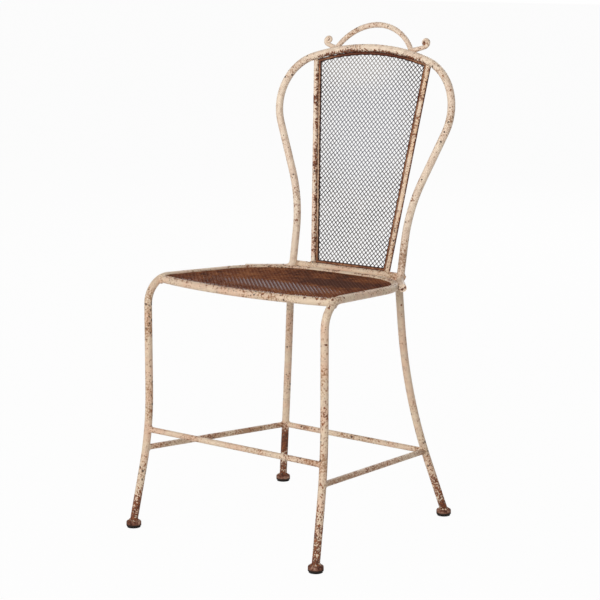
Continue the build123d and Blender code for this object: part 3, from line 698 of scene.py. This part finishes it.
# %% Weld beads round the joints
BAR, THIN, STILE, RAIL, COLLAR = 7.0, 5.25, 4.75, 6.0, 7.6
curves, girths = [], []
for s in (-1, 1):
    knee, shin, calf = (-0.028 * s, 0.105, 0.994), (-0.045 * s, 0.160, 0.985), (-0.22 * s, -0.213, 0.952)
    front_high, front_low = np.array((200.52 * s, -193.44, 177.5)), np.array((201.71 * s, -197.87, 144.0))
    rear_low = np.array((164.22 * s, 160.27, 123.2))
    stile_foot, stile_top = np.array((85.7 * s, 147.11, 449.98)), np.array((129.5 * s, 211.98, 835.29))
    back_rail, rail_end = (0.0, 143.31, 446.58), (125.5 * s, 139.0, 447.0)
    crown, crown_way = stile_top - (0, BAR, 0), (-0.951 * s, 0.119, 0.286)
    front_rail, front_rail_way = (196.43 * s, -157.0, 449.63), (-0.948 * s, -0.317, 0.015)
    leg_bend, leg_bend_way = (196.43 * s, -156.81, 451.03), (-0.088 * s, 0.938, 0.29)
    rear_leg, rear_leg_way = (124.5 * s, 128.67, 436.78), (0.0675 * s, 0.0323, -0.997)
    hoop_foot, hoop_foot_way = (124.5 * s, 132.5, 439.78), (0.622 * s, -0.782, 0.037)
    front_disc, rear_disc = (209.01 * s, -225.07, 12.3), (190.73 * s, 185.89, 12.3)
    curves += [
        seam(front_high, (-s, 0, 0), THIN, front_high, knee, BAR),
        seam(front_low, rear_low - front_low, THIN, front_low, shin, BAR),
        seam(rear_low, front_low - rear_low, THIN, rear_low, calf, BAR),
        seam(rear_low, (-s, 0, 0), THIN, rear_low, calf, BAR),
        seam(stile_foot, stile_top - stile_foot, STILE, back_rail, (1, 0, 0), RAIL),
        seam(stile_top, stile_foot - stile_top, STILE, crown, crown_way, BAR),
        seam(front_rail, front_rail_way, BAR, leg_bend, leg_bend_way, BAR),
        seam(rear_leg, rear_leg_way, BAR, hoop_foot, hoop_foot_way, BAR),
        ring(rail_end, (5.5, 0, 0), (0, 0.9, 5.4)),
        ring(front_disc, (COLLAR, 0, 0), (0, COLLAR, 0)),
        ring(rear_disc, (COLLAR, 0, 0), (0, COLLAR, 0)),
    ]
    girths += [1.7, 1.7, 1.7, 1.7, 1.6, 1.6, 2.3, 1.8, 1.7, 1.9, 1.9]
beads("weld_beads", curves, girths, weld_paint)

# %% [markdown]
# Two bars that lie side by side are joined by a straight run of weld in the crease between them. The hoop's
# feet lie so along the rear corners of the seat ring, and the crest's feet along the hoop's crown. A thicker
# run lies under each end of the back's rail. Such a run swells from one end and thins out to the other, so it
# is a spindle with lumps, closed by small caps.

# %% Lap welds in the creases
LAP_RINGS = 24
THIN_LAP, THICK_LAP = 2.3, 4.0
lap_way = np.linspace(0, 1, LAP_RINGS)


def laps(name, middles, ways, girths, material):
    """Spindles from middle - way to middle + way, (j, 3) each, with radius
    girth * (0.25 + 0.75 sqrt(sin(pi t))) * (1 + 0.25 sin(19 t) + 0.15 sin(43 t))."""
    middles, ways = np.array(middles, float), np.array(ways, float)
    line = middles[:, None] + (2 * lap_way - 1)[:, None] * ways[:, None]
    side = unit(np.cross(ways, (0.3, 0.4, 0.8)))
    up = np.cross(unit(ways), side)
    shift = np.arange(len(middles))[:, None] * 2.3
    lumps = 1 + 0.25 * np.sin(19 * lap_way + shift) + 0.15 * np.sin(43 * lap_way - shift)
    spindle = 0.25 + 0.75 * np.sqrt(np.sin(np.pi * lap_way))
    radius = (np.array(girths)[:, None] * spindle * lumps)[..., None, None]
    turned = np.cos(spin)[:, None] * side[:, None] + np.sin(spin)[:, None] * up[:, None]
    points = line[:, :, None] + radius * turned[:, None]
    starts = np.arange(len(middles))[:, None, None] * LAP_RINGS * BEAD_SIDES
    quads = open_quads(LAP_RINGS, BEAD_SIDES) + starts
    return piece(name, points.reshape(-1, 3), quads.reshape(-1, 4), material)


middles, ways, girths = [], [], []
for s in (-1, 1):
    lap, off_lap = np.array((159.3 * s, 78.66, 442.36)), np.array((0, 0.1, 3.0))
    crown, across_crown = np.array((89.0 * s, 209.2, 845.4)), 2.9 * np.array((0, -0.643, 0.766))
    crease = crown + 6.4 * np.array((0, 0.766, 0.643))
    along_ring = 28 * np.array((0.622 * s, -0.782, 0.037))
    along_crown = 9 * np.array((0.977 * s, -0.082, -0.196))
    rail_lap, along_rail = (107.0 * s, 138.2, 440.4), (15.0 * s, 0.0, -0.6)
    middles += [lap + off_lap, lap - off_lap, crease + across_crown, crease - across_crown, rail_lap]
    ways += [along_ring, along_ring, along_crown, along_crown, along_rail]
    girths += [THIN_LAP] * 4 + [THICK_LAP]
laps("lap_welds", middles, ways, girths, weld_paint)

# %% [markdown]
# A studio: a pale floor under a white surround. The surround is plain white where the camera looks at it,
# and the floor keeps a faint shadow. Light Path tells the rays apart: one that comes from the eye sees
# white, and one that carries light to the chair sees a plain floor and a dim surround.

# %% Floor and surround
SEEN = ("Is Camera Ray", "Is Glossy Ray", "Is Transmission Ray")
FLOOR = 30.0
FLOOR_WHITE, SURROUND_LIGHT = 0.96, 0.28


def seen_share(tree):
    """One where a ray comes from the eye, straight or by way of gloss or glass, otherwise nought."""
    path = add(tree, "LightPath")
    share = path.outputs[SEEN[0]]
    for kind in SEEN[1:]:
        share = add(tree, "Math", {0: share, 1: path.outputs[kind]}, operation="MAXIMUM").outputs[0]
    return share


floor_mesh = bpy.data.meshes.new("floor")
floor_mesh.from_pydata([(-FLOOR, -FLOOR, 0), (FLOOR, -FLOOR, 0), (FLOOR, FLOOR, 0), (-FLOOR, FLOOR, 0)],
                       [], [(0, 1, 2, 3)])
floor = bpy.data.objects.new("floor", floor_mesh)
bpy.context.scene.collection.objects.link(floor)
floor_paper = bpy.data.materials.new("white background paper")
floor_paper.use_nodes = True
tree = floor_paper.node_tree
tree.nodes.remove(tree.nodes["Principled BSDF"])
matt = add(tree, "BsdfDiffuse", {"Color": linear("#F6F5F3")}).outputs[0]
glow = add(tree, "Emission", {"Color": (1, 1, 1, 1), "Strength": 1.0}).outputs[0]
most = add(tree, "Math", {0: seen_share(tree), 1: FLOOR_WHITE}, operation="MULTIPLY").outputs[0]
blend = add(tree, "MixShader", {0: most, 1: matt, 2: glow}).outputs[0]
tree.links.new(blend, tree.nodes["Material Output"].inputs["Surface"])
floor_mesh.materials.append(floor_paper)

world = bpy.data.worlds.new("white surround")
world.use_nodes = True
bpy.context.scene.world = world
tree = world.node_tree
strength = add(tree, "MapRange", {"Value": seen_share(tree), "To Min": SURROUND_LIGHT,
                                  "To Max": 1.0}).outputs[0]
tree.links.new(strength, tree.nodes["Background"].inputs["Strength"])
tree.nodes["Background"].inputs["Color"].default_value = (1, 1, 1, 1)
print("floor half width", FLOOR, "m")

# %% [markdown]
# The camera stands to the right of the chair's front and a little above the crest's height, about three and a
# half metres away with a long lens. Its place was solved from the chair's symmetry: a turn and a rise in
# degrees, and, in pixels of a square picture, the focal length and the point that the lens looks at.

# %% Camera
PICTURE, FOCAL, AIM_X, AIM_Y = 600, 1927.284, 295.593, 279.328
SENSOR, DISTANCE = 36.0, 3.461
turn, rise = np.radians(38.357), np.radians(9.714)
away = Vector((np.sin(turn) * np.cos(rise), -np.cos(turn) * np.cos(rise), np.sin(rise)))
right = Vector((np.cos(turn), np.sin(turn), 0.0))
upward = away.cross(right)
middle = Vector((0.0, -0.01564, 0.45))
camera_data = bpy.data.cameras.new("camera")
camera_data.sensor_width = SENSOR
camera_data.lens = SENSOR * FOCAL / PICTURE
camera_data.shift_x = (PICTURE / 2 - AIM_X) / PICTURE
camera_data.shift_y = (AIM_Y - PICTURE / 2) / PICTURE
camera = bpy.data.objects.new("camera", camera_data)
spot = middle + away * DISTANCE
camera.matrix_world = Matrix.Translation(spot) @ Matrix((right, upward, away)).transposed().to_4x4()
bpy.context.scene.collection.objects.link(camera)
bpy.context.scene.camera = camera
print("camera at", [round(c, 3) for c in spot])

# %% [markdown]
# One large soft lamp stands behind the camera, above it and to its left, and two weak ones stand to the left
# of the chair and behind it. They are placed by the camera's own directions, so that the light on the round
# bars falls off to the right.

# %% Lamps
def lamp(name, side, up, near, size, power):
    """A square soft lamp placed by the camera's own directions and turned to the chair."""
    data = bpy.data.lights.new(name, "AREA")
    data.shape, data.size, data.energy = "SQUARE", size, power
    made = bpy.data.objects.new(name, data)
    made.location = middle + right * side + Vector((0, 0, up)) + Vector((away.x, away.y, 0)) * near
    made.rotation_euler = (made.location - middle).to_track_quat("Z", "Y").to_euler()
    bpy.context.scene.collection.objects.link(made)
    print("lamp", name, power, "W")


lamp("key", side=-1.4, up=2.0, near=4.8, size=2.4, power=140.0)
lamp("side", side=-4.2, up=1.4, near=1.6, size=2.0, power=42.0)
lamp("rear", side=1.5, up=2.2, near=-4.0, size=2.4, power=45.0)
bpy.context.scene.view_settings.view_transform = "Standard"
